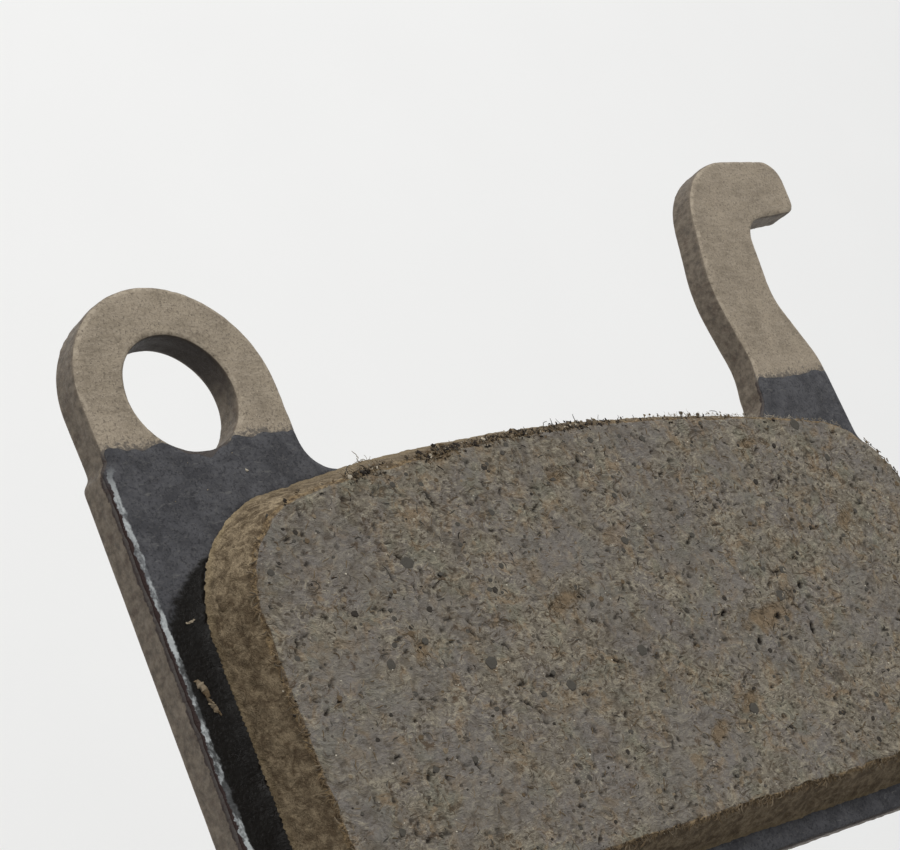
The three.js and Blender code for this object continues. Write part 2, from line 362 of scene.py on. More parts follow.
class Finish:
    """A node material being built. Its methods add nodes, and return the socket with the result."""

    def __init__(self, name, gain=1.0):
        self.material = bpy.data.materials.new(name)
        self.material.use_nodes = True
        self.tree = self.material.node_tree
        self.shader = self.tree.nodes["Principled BSDF"]
        self.place = self.tree.nodes.new("ShaderNodeTexCoord").outputs["Object"]
        self.gain = gain
        self.color = None

    def add(self, kind, inputs=(), **settings):
        node = self.tree.nodes.new(kind)
        for key, value in settings.items():
            setattr(node, key, value)
        for key, value in inputs:
            self.set(node.inputs[key], value)
        return node

    def set(self, socket, value):
        if isinstance(value, bpy.types.NodeSocket):
            self.tree.links.new(value, socket)
        else:
            socket.default_value = value

    # Patterns. Sizes are in millimetres, and each seed gives another pattern.

    def where(self, stretch, turn, seed):
        shift = (seed * 0.0137, seed * 0.0071, seed * 0.0053)
        inputs = [("Vector", self.place), ("Scale", stretch)]
        inputs += [("Rotation", (0, 0, turn)), ("Location", shift)]
        return self.add("ShaderNodeMapping", inputs).outputs["Vector"]

    def noise(self, size, detail=4.0, rough=0.55, stretch=(1, 1, 1), turn=0.0, seed=0, warp=0.0):
        inputs = [("Vector", self.where(stretch, turn, seed)), ("Scale", 1 / (size * MM))]
        inputs += [("Detail", detail), ("Roughness", rough), ("Distortion", warp)]
        return self.add("ShaderNodeTexNoise", inputs).outputs["Fac"]

    def grains(self, size, out="Color", stretch=(1, 1, 1), seed=0):
        """Grains packed side by side: the distance from each one's middle, or its own random shade."""
        inputs = [("Vector", self.where(stretch, 0.0, seed)), ("Scale", 1 / (size * MM))]
        socket = self.add("ShaderNodeTexVoronoi", inputs).outputs[out]
        if out == "Color":
            return self.add("ShaderNodeSeparateColor", [("Color", socket)]).outputs[0]
        return socket

    def read(self, name):
        return self.add("ShaderNodeAttribute", attribute_name=name).outputs["Fac"]

    def axis(self, name):
        return self.add("ShaderNodeSeparateXYZ", [("Vector", self.place)]).outputs[name]

    # Sums.

    def band(self, value, low, high, bottom=0.0, top=1.0):
        """Goes smoothly from bottom to top as the value goes from low to high."""
        ends = [("From Min", low), ("From Max", high), ("To Min", bottom), ("To Max", top)]
        node = self.add("ShaderNodeMapRange", [("Value", value), *ends], interpolation_type="SMOOTHSTEP")
        return node.outputs["Result"]

    def calc(self, operation, a, b):
        return self.add("ShaderNodeMath", [(0, a), (1, b)], operation=operation).outputs[0]

    def plus(self, a, b):
        return self.calc("ADD", a, b)

    def less(self, a, b):
        return self.calc("SUBTRACT", a, b)

    def times(self, a, b):
        return self.calc("MULTIPLY", a, b)

    def fray(self, value, amount, pattern):
        """Makes the contour lines of a value ragged with a noise pattern."""
        return self.plus(value, self.times(self.less(pattern, 0.5), amount))

    # Colours and surface.

    def mix(self, share, a, b):
        inputs = [(0, share), (6, a), (7, b)]
        return self.add("ShaderNodeMix", inputs, data_type="RGBA", clamp_factor=True).outputs[2]

    def between(self, share, low, high):
        """A blend of two display colours."""
        return self.mix(share, tone(low, self.gain), tone(high, self.gain))

    def over(self, share, top):
        """Lays a display colour, or a blend, over the colour so far."""
        top = tone(top, self.gain) if isinstance(top, tuple) else top
        self.color = self.mix(share, self.color, top)

    def relief(self, height, depth, under=None):
        inputs = [("Height", height), ("Strength", 1.0), ("Distance", depth * MM)]
        inputs += [("Normal", under)] if under is not None else []
        return self.add("ShaderNodeBump", inputs).outputs["Normal"]

    def done(self, rough, normal=None, metal=0.0, specular=0.5):
        look = {"Base Color": self.color, "Roughness": rough, "Metallic": metal}
        look["Specular IOR Level"] = specular
        if normal is not None:
            look["Normal"] = normal
        for key, value in look.items():
            self.set(self.shader.inputs[key], value)
        return self.material


def steel_finish():
    """Bead-blasted, lightly oxidised steel, with sheared walls and overspray at the coat's mask line."""
    f = Finish("stamped_steel", STEEL_GAIN)
    f.color = f.between(f.band(f.noise(2.4, 4, 0.7), 0.3, 0.7), (124, 113, 97), (150, 138, 120))
    f.over(f.band(f.noise(7.0, 3, 0.6, seed=2), 0.45, 0.62, 0, 0.4), (160, 147, 129))
    streak = f.noise(0.5, 4, 0.7, stretch=(0.35, 1.0, 1.0), turn=0.5, seed=3, warp=0.5)
    f.over(f.band(streak, 0.42, 0.66, 0, 0.5), (156, 144, 127))
    fine = f.noise(0.25, 4, 0.75, seed=5, warp=0.6)
    f.over(f.band(fine, 0.48, 0.66, 0, 0.8), (98, 88, 75))
    glint = f.noise(0.20, 3, 0.7, seed=6, warp=0.5)
    f.over(f.band(glint, 0.58, 0.70, 0, 0.6), (178, 166, 148))
    f.over(f.band(f.grains(0.5, "Distance", seed=9), 0.10, 0.18, 0.6, 0), (74, 66, 57))
    front = f.color

    # The sheared walls, darkest inside the eye, where shade is painted on the wall that faces down.
    f.gain = GAIN
    wall = f.read("wall")
    grit = f.noise(0.7, 5, 0.7, seed=11)
    f.color = f.between(f.band(grit, 0.3, 0.7), (82, 73, 63), (122, 111, 97))
    f.over(f.band(f.noise(1.1, 4, 0.7, seed=13), 0.50, 0.68, 0, 0.6), (76, 62, 52))
    # Painted shade on the eye's wall, strongest where it faces down.
    f.over(f.times(f.read("bore"), 0.95), (42, 35, 30))
    f.color = f.mix(wall, front, f.color)
    # The front's rounded edge: pale rubbed metal, partly a painted highlight along the edge.
    rubbed = f.band(f.noise(0.9, 3, 0.6, seed=15), 0.46, 0.64, 0.0, 0.5)
    f.over(f.times(f.read("lip"), rubbed), (172, 160, 142))

    # Below the mask line the coat runs out over the plate's rounded edge.
    jagged = f.plus(f.axis("Z"), f.times(f.noise(0.6, 4, 0.7, seed=19), 0.9 * MM))
    below = f.band(f.axis("Y"), MASK_LINE * MM, (MASK_LINE - 0.5) * MM)
    primer = f.between(f.noise(0.5, 3, 0.7, seed=20), (40, 30, 27), (62, 50, 46))
    f.over(f.times(f.band(jagged, 2.98 * MM, 3.10 * MM), below), primer)

    # The coat's overspray, thinning out above the mask line.
    above = f.band(f.axis("Y"), (MASK_LINE - 0.3) * MM, (MASK_LINE + 1.3) * MM, 1, 0)
    dots = f.plus(f.noise(0.5, 5, 0.75, seed=17, warp=0.6), f.times(above, 0.24))
    dots = f.times(f.band(dots, 0.60, 0.74), f.band(above, 0.0, 0.2))
    on_front = f.band(f.axis("Z"), 2.62 * MM, 2.80 * MM)
    f.over(f.times(f.times(dots, on_front), 0.75), (70, 66, 63))

    normal = f.relief(f.plus(f.times(streak, 0.8), fine), 0.075)
    normal = f.relief(f.times(grit, wall), 0.06, normal)
    return f.done(f.band(streak, 0.3, 0.7, 0.66, 0.54), normal, metal=0.1, specular=0.3)


def coat_finish():
    """Slate-black adhesive coat: mottled satin, near-black beside the lining, and along one edge a dark
    line, partly painted shadow, and a scuffed bright band, partly painted highlight.
    """
    f = Finish("bond_coat_black", GAIN)
    cloud = f.band(f.noise(1.8, 5, 0.65, seed=1, warp=0.4), 0.36, 0.66)
    f.color = f.between(cloud, (57, 57, 60), (76, 76, 79))
    mottle = f.noise(0.34, 4, 0.75, seed=2, warp=0.8)
    f.over(f.band(mottle, 0.50, 0.68, 0, 0.55), (88, 87, 86))
    f.over(f.band(f.noise(0.24, 3, 0.7, seed=4), 0.50, 0.64, 0, 0.7), (40, 40, 43))
    streak = f.noise(0.42, 4, 0.7, stretch=(0.3, 1, 1), turn=-0.5, seed=6, warp=0.6)
    f.over(f.band(streak, 0.60, 0.70, 0, 0.5), (102, 101, 99))
    # Near-black beside the lining's foot, reaching furthest at the lower left.
    wet = f.band(f.fray(f.read("wet"), 1.1, f.noise(0.9, 5, 0.75, seed=8, warp=0.8)), 0.24, 0.62)
    f.over(wet, f.between(f.noise(0.5, 3, 0.7, seed=9), (6, 5, 4), (20, 17, 14)))

    # A dark line at the plate's edge, partly painted shadow under the edge's burr, then a broken bright
    # band where the coat is rubbed, partly painted highlight on the burr.
    across = f.fray(f.read("edge"), 0.95, f.noise(1.3, 5, 0.75, seed=10))
    worn = f.read("worn")
    f.over(f.times(f.band(across, 0.34, 0.42, 1, 0), worn), (44, 32, 30))
    rubbed = f.times(f.band(across, 0.34, 0.42), f.band(across, 0.72, 0.88, 1, 0))
    broken = f.band(f.noise(2.2, 5, 0.7, stretch=(1, 0.6, 1), seed=12), 0.42, 0.54, 0.12, 1.0)
    pale = f.between(f.noise(0.3, 3, 0.6, seed=14), (118, 122, 124), (186, 190, 190))
    f.over(f.times(f.times(rubbed, broken), worn), pale)

    rough = f.band(f.noise(0.8, 3, 0.6, seed=18), 0.3, 0.7, 0.46, 0.60)
    rough = f.less(rough, f.times(wet, 0.20))
    return f.done(rough, f.relief(f.plus(mottle, f.times(streak, 0.6)), 0.06), specular=0.10)


def rubbed_face(f, grain, patch, swirl, wisp):
    """The lining's face: matted grey and tan fibres, dark granules, pale flecks, pits and torn spots, with
    painted shade in the pits and low places and painted light and shade on the fibre strokes.
    """
    f.color = f.between(grain, (102, 95, 84), (128, 121, 108))
    f.over(f.band(patch, 0.44, 0.60, 0, 0.5), (108, 103, 101))
    f.over(f.band(f.noise(3.2, 4, 0.6, seed=4), 0.50, 0.66, 0, 0.45), (106, 107, 92))
    calm = f.times(f.band(f.noise(6.5, 4, 0.6, seed=19, warp=0.5), 0.46, 0.60), 0.55)
    f.over(calm, (108, 104, 101))
    lively = f.less(1.0, calm)
    tan = f.noise(2.0, 5, 0.7, seed=5, warp=0.8)
    # Light and dark fibre strokes that follow the relief: partly the fibres' own tones, partly painted
    # highlight on the raised strokes and painted shade between them.
    for strength, shade in (
        (f.band(tan, 0.50, 0.64, 0, 0.75), (124, 106, 83)),
        (f.band(swirl, 0.55, 0.62, 0, 0.55), (150, 142, 124)),
        (f.band(swirl, 0.44, 0.37, 0, 0.85), (70, 61, 50)),
        (f.band(wisp, 0.57, 0.64, 0, 0.55), (158, 150, 133)),
        (f.band(wisp, 0.43, 0.36, 0, 0.7), (66, 58, 49)),
    ):
        f.over(f.times(strength, lively), shade)
    f.over(f.band(f.noise(1.1, 5, 0.75, seed=6, warp=1.2), 0.58, 0.66, 0, 0.75), (74, 58, 42))
    # Some grains are dark granules, and a few are pale slivers.
    middle, lot = (f.grains(0.66, out, (0.8, 1, 1), 8) for out in ("Distance", "Color"))
    dark = f.times(f.band(middle, 0.20, 0.26, 1, 0), f.band(lot, 0.74, 0.76))
    f.over(f.times(dark, 0.8), (66, 60, 53))
    middle, lot = (f.grains(0.6, out, (1, 2.4, 1), 10) for out in ("Distance", "Color"))
    sliver = f.times(f.band(middle, 0.10, 0.15, 1, 0), f.band(lot, 0.95, 0.96))
    f.over(f.times(sliver, 0.85), (190, 182, 165))
    # Painted shade in the low places of the face's relief.
    f.over(f.times(f.read("hollow"), 0.6), (66, 57, 46))
    fibres = f.noise(0.4, 4, 0.7, stretch=(1, 0.3, 1), turn=0.9, seed=11, warp=1.2)
    f.over(f.times(f.read("torn"), 0.85), f.between(fibres, (50, 39, 29), (150, 130, 103)))
    # Painted shade: the pits are coloured near-black.
    f.over(f.read("pit"), (24, 20, 16))
    return f.color


def moulded_side(f):
    """The lining's sides: lumpy tan binder, paler at the foot, with painted shade lower down, and darker
    under the brink.
    """
    lumps = f.noise(1.1, 5, 0.7, seed=12, warp=0.8)
    f.color = f.between(f.band(lumps, 0.34, 0.66), (84, 71, 54), (152, 136, 111))
    f.over(f.band(f.noise(1.7, 5, 0.75, seed=20, warp=1.0), 0.54, 0.66, 0, 0.7), (64, 52, 38))
    blot = f.band(f.grains(0.95, "Distance", seed=13), 0.26, 0.5, 1, 0)
    f.over(f.times(blot, f.band(f.grains(0.95, seed=13), 0.45, 0.7, 0, 0.7)), (78, 66, 51))
    f.over(f.band(f.noise(0.3, 4, 0.75, seed=14, warp=1.0), 0.54, 0.66, 0, 0.6), (164, 147, 118))
    f.over(f.band(f.noise(0.22, 3, 0.7, seed=18), 0.52, 0.66, 0, 0.5), (68, 55, 40))
    f.over(f.band(f.axis("Z"), COAT_TOP * MM, (UNDERLAYER_TOP - 0.2) * MM, 0.5, 0), (150, 134, 104))
    # Painted shade: darker lower down.
    f.over(f.band(f.axis("Y"), 2 * MM, -9 * MM, 0, 0.42), (70, 57, 42))
    brow = f.band(f.axis("Z"), (FACE - 1.8) * MM, (FACE - 0.3) * MM)
    f.over(f.times(brow, f.band(lumps, 0.42, 0.6, 0.5, 0.0)), (78, 65, 49))
    f.over(f.band(f.axis("Y"), 2 * MM, 5 * MM, 0, 0.5), (88, 77, 62))
    return f.color


def lining_finish(name):
    """Pressed friction compound: a rubbed face, browner moulded sides and a ragged rusty brink between."""
    f = Finish(name, LINING_GAIN)
    grain = f.grains(0.36, seed=1)
    patch = f.noise(4.5, 4, 0.6, seed=3)
    swirl = f.noise(1.05, 4, 0.6, stretch=(0.6, 1.0, 1.0), turn=0.35, seed=7, warp=2.6)
    wisp = f.noise(0.52, 4, 0.65, stretch=(0.6, 1.0, 1.0), turn=-0.3, seed=17, warp=2.4)
    face = rubbed_face(f, grain, patch, swirl, wisp)
    f.color = f.mix(f.read("side"), face, moulded_side(f))
    brink = f.fray(f.read("brink"), 1.3, f.noise(0.6, 5, 0.75, seed=15))
    rust = f.between(f.band(f.noise(0.5, 4, 0.7, seed=21), 0.42, 0.6), (74, 59, 42), (138, 118, 88))
    f.over(f.band(brink, 0.5, 0.8, 0, 0.75), rust)
    height = f.plus(swirl, f.times(wisp, 0.6))
    height = f.plus(height, f.times(f.noise(0.2, 4, 0.75, seed=16), 0.45))
    height = f.plus(height, f.times(grain, 0.15))
    return f.done(f.band(patch, 0.3, 0.7, 0.95, 0.85), f.relief(height, 0.22), specular=0.2)


def bits_finish():
    """Loose crumbs, granules and fibre ends of the friction compound, each with its own tone."""
    f = Finish("lining_bits", GAIN)
    shade = f.read("tint")
    f.color = f.between(f.band(shade, 0.0, 0.30), (34, 28, 23), (72, 69, 63))
    f.over(f.band(shade, 0.30, 0.5), (92, 77, 57))
    f.over(f.band(shade, 0.5, 0.75), (140, 129, 111))
    f.over(f.band(shade, 0.75, 1.0), (196, 188, 172))
    grit = f.noise(0.14, 4, 0.7)
    f.over(f.band(grit, 0.48, 0.66, 0, 0.4), (54, 48, 42))
    return f.done(f.band(grit, 0.3, 0.7, 0.7, 0.9), f.relief(grit, 0.03), specular=0.2)


def floor_finish():
    """Even, matt, pale paper."""
    f = Finish("pale_floor")
    f.color = f.mix(f.noise(30, 3), (0.85, 0.85, 0.845, 1), (0.87, 0.87, 0.865, 1))
    return f.done(0.9, specular=0.1)


STEEL = steel_finish()
COAT = coat_finish()
LINING = lining_finish("lining_compound")
UNDER = lining_finish("underlayer_compound")
BITS = bits_finish()


# ---------------- outlines of the four solids

plate_loops = outlines("backing_plate", PLATE_TOP - EDGE_BREAK)
coat_outline = outlines("bond_coat", COAT_TOP, flat=True)[0]
foot_outline = outlines("underlayer", COAT_TOP, flat=True)[0]
brink_outline = outlines("friction_block", FACE, flat=True)[0]
plug_outlines = outlines("underlayer", PLUG_BOTTOM, flat=True)

plate_edge = [even(plate_loops[0], 0.22)] + [even(l, 0.25, hole=True) for l in plate_loops[1:]]
foot_edge = even(foot_outline, 0.2)
covered = even(foot_outline, 0.4)
brink_edge = even(brink_outline, 0.2)
brink_normal = inward(brink_edge)
off_plate = Nearest([even(plate_loops[0], 0.1)])
off_foot = Nearest([even(foot_outline, 0.1)])
on_brink = Nearest([brink_edge])


def under_lining(points):
    """Which points the lining hides."""
    return within(points, [covered]) & (off_foot(points) > 0.8)


def in_sight(points):
    return ~under_lining(points)


def front_fill(loops, step, rng):
    """Inner points of a front face: step apart where it is seen, sparse where the lining hides it."""
    return np.vstack([
        scatter(loops, step, rng, keep=in_sight),
        scatter(loops, 1.2, rng, margin=0.4, keep=under_lining),
    ])


# ---------------- stamped steel plate

def edge_drop(inset):
    """How far the plate's front lies below its flat, near its rounded stamped edge."""
    t = np.clip(1 - np.asarray(inset) / 0.55, 0, 1)
    return 0.26 * t ** 2.6


rng = np.random.default_rng(11)
front_in = front_fill([shrunk(l, 0.75) for l in plate_edge], 0.26, rng)
back_in = scatter([shrunk(l, 0.5) for l in plate_edge], 0.55, rng)
plate_profile = [(d, PLATE_TOP - edge_drop(d)) for d in (0.75, 0.55, 0.38, 0.24, 0.12, 0.04)]
plate_profile += [(0.0, z) for z in (2.55, 2.3, 2.05, 1.8, 1.55, 1.3, 1.05, 0.8, 0.55, 0.3)]
plate_profile += [(0.03, 0.12), (0.12, 0.02), (0.3, 0.0), (0.5, 0.0)]
LIP_ROWS = (2, 3, 4)
plate = Solid(plate_edge, plate_profile, front_in, back_in)
points = plate.points
facing = normals(points, plate.faces)

# The walls: ripples from the punch above, and a rougher fracture set back a little below.
wall = ease(1 - np.abs(facing[:, 2]), 0.15, 0.75)
sheared = ease(1.9 - points[:, 2], 0, 0.5)
ripple = noise(points * (1, 1, 0.25), 0.55, 31) * 0.030
fracture = fbm(points, 0.55, 33) * 0.055 * sheared - 0.045 * sheared
flat_wave = fbm(points, 5.0, 35) * 0.02 + fbm(points, 0.8, 37) * 0.012
relief = wall * (ripple + fracture - 0.02) + (1 - wall) * (flat_wave - 0.02)
points = points + facing * relief[:, None]

# Nicks along the outer rim, and the larger one at the step in the left side.
NICKS = 60
rim_points = len(plate_edge[0])
nicks = [(rng.choice(rim_points), rng.uniform(0.25, 0.6), rng.uniform(0.05, 0.14)) for _ in range(NICKS)]
step_corner = int(np.argmin(np.linalg.norm(plate_edge[0] - STEP_CORNER, axis=1)))
nicks += [(step_corner, 0.5, 0.34)]
for index, radius, depth in nicks:
    centre = at_height(plate_edge[0][[index]], PLATE_TOP - 0.1)[0]
    near = np.clip(1 - np.linalg.norm(points - centre, axis=1) / radius, 0, 1)
    points -= facing * (near ** 1.5 * depth)[:, None]

plate_piece = mesh_object("stamped_plate", points, plate.faces, STEEL, ["backing_plate"])
# Painted shade for the eye's wall: strongest where the wall faces down, away from the softbox.
in_bore = np.linalg.norm(points[:, :2] - EYE, axis=1) < 5.6
shaded = ease(-facing[:, 1] - 0.15 * facing[:, 0], -0.3, 0.75)
# The rows of the front's rounded edge, which get pale rubbed metal and a painted highlight.
lip = np.isin(plate.row, LIP_ROWS) * (points[:, 2] > 2)
paint(plate_piece, wall=wall, bore=in_bore * wall * shaded, lip=lip)


# ---------------- adhesive coat

def film(x):
    """Thickness of the coat at a distance from its rim."""
    return 0.018 + 0.10 * ease(x, 0, 0.5)


rng = np.random.default_rng(12)
coat_edge = even(coat_outline, 0.16)
inwards = inward(coat_edge)
# Where the coat's rim runs along the plate's rim it keeps to it. Elsewhere it is ragged.
keeps = ease(0.75 - off_plate(coat_edge), 0, 0.2)
coat_edge = coat_edge - inwards * (keeps * 0.26)[:, None]
flat = at_height(coat_edge, 0)
ragged = fbm(flat, 1.5, 41) * 0.44 + noise(flat, 0.6, 43) * 0.12
push = ragged * (1 - keeps) + keeps * fbm(flat, 0.6, 44) * 0.07
coat_edge = rounded(coat_edge + inwards * push[:, None])

RIM_ROW = 4
coat_profile = [(0.16, 3.0), (0.10, 3.0), (0.05, 3.0), (0.015, 3.0), (0.0, 2.97), (0.0, 2.9), (0.1, 2.9)]
coat_in = front_fill([shrunk(coat_edge, 0.16)], 0.24, rng)
coat_back = scatter([shrunk(coat_edge, 0.1)], 1.5, rng)
coat = Solid([coat_edge], coat_profile, coat_in, coat_back)
points = coat.points
inset = off_plate(points)
rim = Nearest([coat_edge])(points)
near_foot = off_foot(points)
outside = ~within(points[:, :2], [foot_edge])
surface = PLATE_TOP - edge_drop(inset)
# The coat piles up against the lining, most of all at the lower left.
lower_left = ease(1.8 - points[:, 1], 0, 9) * ease(-points[:, 0] - 16, 0, 26)
piled = (0.10 + 0.26 * lower_left) * (1 + 0.6 * fbm(points, 1.6, 45))
meniscus = outside * np.exp(-near_foot / 0.75) * piled
texture = fbm(points, 0.7, 46) * 0.02 + fbm(points, 2.5, 47) * 0.02
top = surface + film(rim) + texture * ease(rim, 0.05, 0.4) + meniscus
points[:, 2] = np.where(coat.row < RIM_ROW, top, surface - 0.12)
points[:, 2] = np.where(coat.row == RIM_ROW, surface - 0.01, points[:, 2])

coat_piece = mesh_object("adhesive_coat", points, coat.faces, COAT, ["bond_coat"])
# Where the coat's edge gets its dark line of painted shadow and its scuffed bright band with painted
# highlight: the lower left end.
worn = ease(-points[:, 0] - 44, 0, 3) * ease(8.4 - points[:, 1], 0, 3.4)
# How near-black the coat is beside the lining's foot, reaching furthest at the lower left.
reach = 0.5 + 5.2 * lower_left
wet = outside * np.clip(1.15 - near_foot / reach, 0, 1) * (0.2 + 0.8 * ease(lower_left, 0.0, 0.35))
paint(coat_piece, edge=inset, worn=worn, wet=wet)


# ---------------- friction lining

def rock(p):
    """Relief of the pressed compound, in millimetres."""
    near, second, lift = cells(p, 0.8, 51)
    plateau = ease(second - near, 0.0, 0.25)
    steps = (lift - 0.5) * 0.075 * plateau - 0.03 * (1 - plateau)
    return fbm(p, 3.2, 55) * 0.035 + steps + fbm(p, 0.5, 57) * 0.05


def flank_relief(p):
    """Relief of the compound's moulded sides, which is coarser."""
    near, second, lift = cells(p, 1.05, 61)
    steps = (lift - 0.6) * 0.16 * ease(second - near, 0, 0.3)
    return fbm(p, 2.4, 65) * 0.10 + steps + fbm(p, 0.55, 67) * 0.09


def brink_wear(p):
    """How far the brink has crumbled inwards."""
    bites = np.clip(noise(p, 1.8, 71) - 0.15, 0, 1)
    return 0.12 + 0.20 * fbm(p, 0.9, 73) + bites * 0.55


slope = float(np.mean(off_foot(even(brink_outline, 1.0)))) / (FACE - COAT_TOP)


def drafted(z):
    """Inset of the lining's drafted side at a height, measured from its brink. It is negative: outwards."""
    return -(FACE - z) * slope


def oval(points, x, y, long, short, turn):
    """Distance from the middle of a turned oval, 1 on its rim."""
    dx, dy = points[:, 0] - x, points[:, 1] - y
    u = (dx * math.cos(turn) + dy * math.sin(turn)) / long
    v = (-dx * math.sin(turn) + dy * math.cos(turn)) / short
    return np.sqrt(u * u + v * v)


rng = np.random.default_rng(13)
face_in = scatter([shrunk(brink_edge, 0.62)], 0.2, rng)
inner_back = scatter([shrunk(brink_edge, 0.2)], 2.5, rng)
side_levels = [7.02, 6.9, 6.72, 6.5, 6.25, 6.0, 5.75, 5.5, 5.25, 5.0, 4.75, 4.5, 4.3, 4.15, UNDERLAYER_TOP]
block_profile = [(0.62, FACE), (0.46, FACE), (0.32, FACE), (0.2, FACE - 0.005), (0.09, FACE - 0.02)]
block_profile += [(drafted(z) + (0.02 if z > 7 else 0), z) for z in side_levels]
block_profile += [(drafted(UNDERLAYER_TOP) + 0.8, UNDERLAYER_TOP)]
last_row = len(block_profile) - 1
block = Solid([brink_edge], block_profile, face_in, inner_back)
points = block.points.copy()
facing = normals(points, block.faces)
flatness = ease(facing[:, 2], 0.62, 0.9)

# The brink has crumbled inwards and down.
near_brink = np.exp(-(on_brink(points) / 0.32) ** 2) * ease(points[:, 2], FACE - 0.9, FACE - 0.2)
closest = on_brink.index(points)
crumble = near_brink * brink_wear(at_height(brink_edge[closest], 0))
points[:, :2] += brink_normal[closest] * crumble[:, None]
points[:, 2] -= near_brink * (0.08 + 0.10 * np.clip(noise(points, 0.7, 75), -0.5, 1))

# Relief of the sides and the face.
moved = (block.row >= 0) & (block.row < last_row)
sideways = (1 - flatness) * (flank_relief(points) - 0.08) * moved
relief = flatness * (rock(points) - 0.03)
points[:, :2] -= brink_normal[closest] * sideways[:, None]
points[:, 2] += np.where(block.row < last_row - 1, relief, 0)

# Pits: place, half-length, half-width, direction and depth, in millimetres and radians. First come
# 260 round and 380 narrow ones scattered over the face, then those that can be told apart in the photo.
rng = np.random.default_rng(14)
low, high = brink_edge.min(0), brink_edge.max(0)
spots = rng.uniform(low, high, (1100, 2))
spots = spots[within(spots, [shrunk(brink_edge, 1.0)])]
pits = []
for x, y in spots[:260]:
    oblong = (rng.uniform(0.16, 0.42), rng.uniform(0.12, 0.24))
    pits.append((x, y, *oblong, rng.uniform(0, 3.14), rng.uniform(0.05, 0.22)))
for x, y in spots[260:640]:
    oblong = (rng.uniform(0.25, 0.65), rng.uniform(0.07, 0.13))
    pits.append((x, y, *oblong, rng.normal(0.2, 0.7), rng.uniform(0.08, 0.26)))
pits += [
    (4.8, -14.3, 0.5, 0.26, 0.4, 0.42), (16.3, -13.3, 0.38, 0.3, 1.0, 0.4),
    (15.3, -17.4, 0.7, 0.22, 1.2, 0.38), (-33.3, 3.0, 0.42, 0.24, 0.8, 0.3),
    (-20.6, 4.0, 0.55, 0.30, 0.5, 0.5), (-19.7, 4.35, 0.50, 0.34, 0.1, 0.55),
    (-18.9, 4.6, 0.6, 0.26, 0.5, 0.5), (-30.6, 4.0, 0.42, 0.3, 0.4, 0.5),
    (-12.0, -2.0, 0.6, 0.12, 0.5, 0.3), (-4.5, 1.8, 0.5, 0.12, 1.5, 0.3),
    (11.6, -15.6, 0.5, 0.3, 0.1, 0.3), (7.7, -17.4, 0.45, 0.3, 0.9, 0.3),
    (-17.9, -16.1, 0.3, 0.2, 0.3, 0.26), (20.4, -3.0, 0.4, 0.2, 1.4, 0.26),
]
# How strongly each point of the face is painted near-black as shade in the pits.
pit = np.zeros(len(points))
top = points[:, 2] > FACE - 0.5
face_index = np.flatnonzero(top)
on_face = points[top, :2]
for *place, depth in pits:
    bowl = np.clip(1.15 - oval(on_face, *place), 0, 1)
    touched = bowl > 0
    index = face_index[touched]
    points[index, 2] -= depth * ease(bowl[touched], 0, 0.7)
    pit[index] = np.maximum(pit[index], ease(bowl[touched], 0.05, 0.35) * min(1, depth * 3.6))

# Patches where the surface has torn away and left brown fibres: place, half-length, half-width, direction.
patches = [
    (10.6, -15.4, 4.0, 1.5, 0.15), (-13.5, -10.5, 2.6, 1.0, 0.3), (-19.8, 3.9, 2.2, 0.7, 0.25),
    (-28.5, 3.6, 2.2, 0.8, 0.35), (3.1, -22.2, 1.6, 0.8, 0.5), (27.0, -8.0, 2.2, 0.9, 0.7),
    (-8.0, 0.5, 1.6, 0.6, 0.1), (-30.0, -12.0, 1.4, 0.7, 1.0), (-2.0, -24.0, 2.0, 0.8, 0.4),
    (33.0, -20.0, 1.8, 0.8, 1.1), (18.0, 1.0, 1.8, 0.5, 0.1),
]
torn = np.zeros(len(points))
for place in patches:
    ragged = 1 - oval(points, *place) + 0.45 * fbm(points, 1.0, 81)
    torn = np.maximum(torn, ease(ragged, 0.0, 0.5) * top)
points[:, 2] -= torn * (0.12 + 0.16 * fbm(points, 0.5, 83))

# Score marks along the rubbing direction.
SCORE_MARKS = 26
for _ in range(SCORE_MARKS):
    x, y = rng.uniform(low[0] + 2, high[0] - 12), rng.uniform(low[1] + 2, high[1] - 2)
    span, tilt, depth = rng.uniform(3, 12), rng.uniform(-0.06, 0.06), rng.uniform(0.02, 0.06)
    along = (points[:, 0] - x) / span
    off = np.abs(points[:, 1] - y - tilt * (points[:, 0] - x))
    points[:, 2] -= top * depth * np.clip(1 - off / 0.16, 0, 1) * ((along > 0) & (along < 1))

points[:, 2] = np.minimum(points[:, 2], FACE)
block_piece = mesh_object("friction_lining", points, block.faces, LINING, ["friction_block"])
side = 1 - ease(facing[:, 2], 0.66, 0.86)
# Painted shade where the face's relief is low.
hollow = ease(-relief, 0.03, 0.11) * flatness
paint(block_piece, pit=pit, torn=torn, side=side, hollow=hollow, brink=near_brink * 1.1)
face_points = points[points[:, 2] > FACE - 0.6]


# ---------------- underlayer and its plugs

def waist(z):
    """Inset of the underlayer's side, which flares out a little at its foot."""
    return drafted(z) - 0.10 * ease(3.5 - z, 0, 0.5)


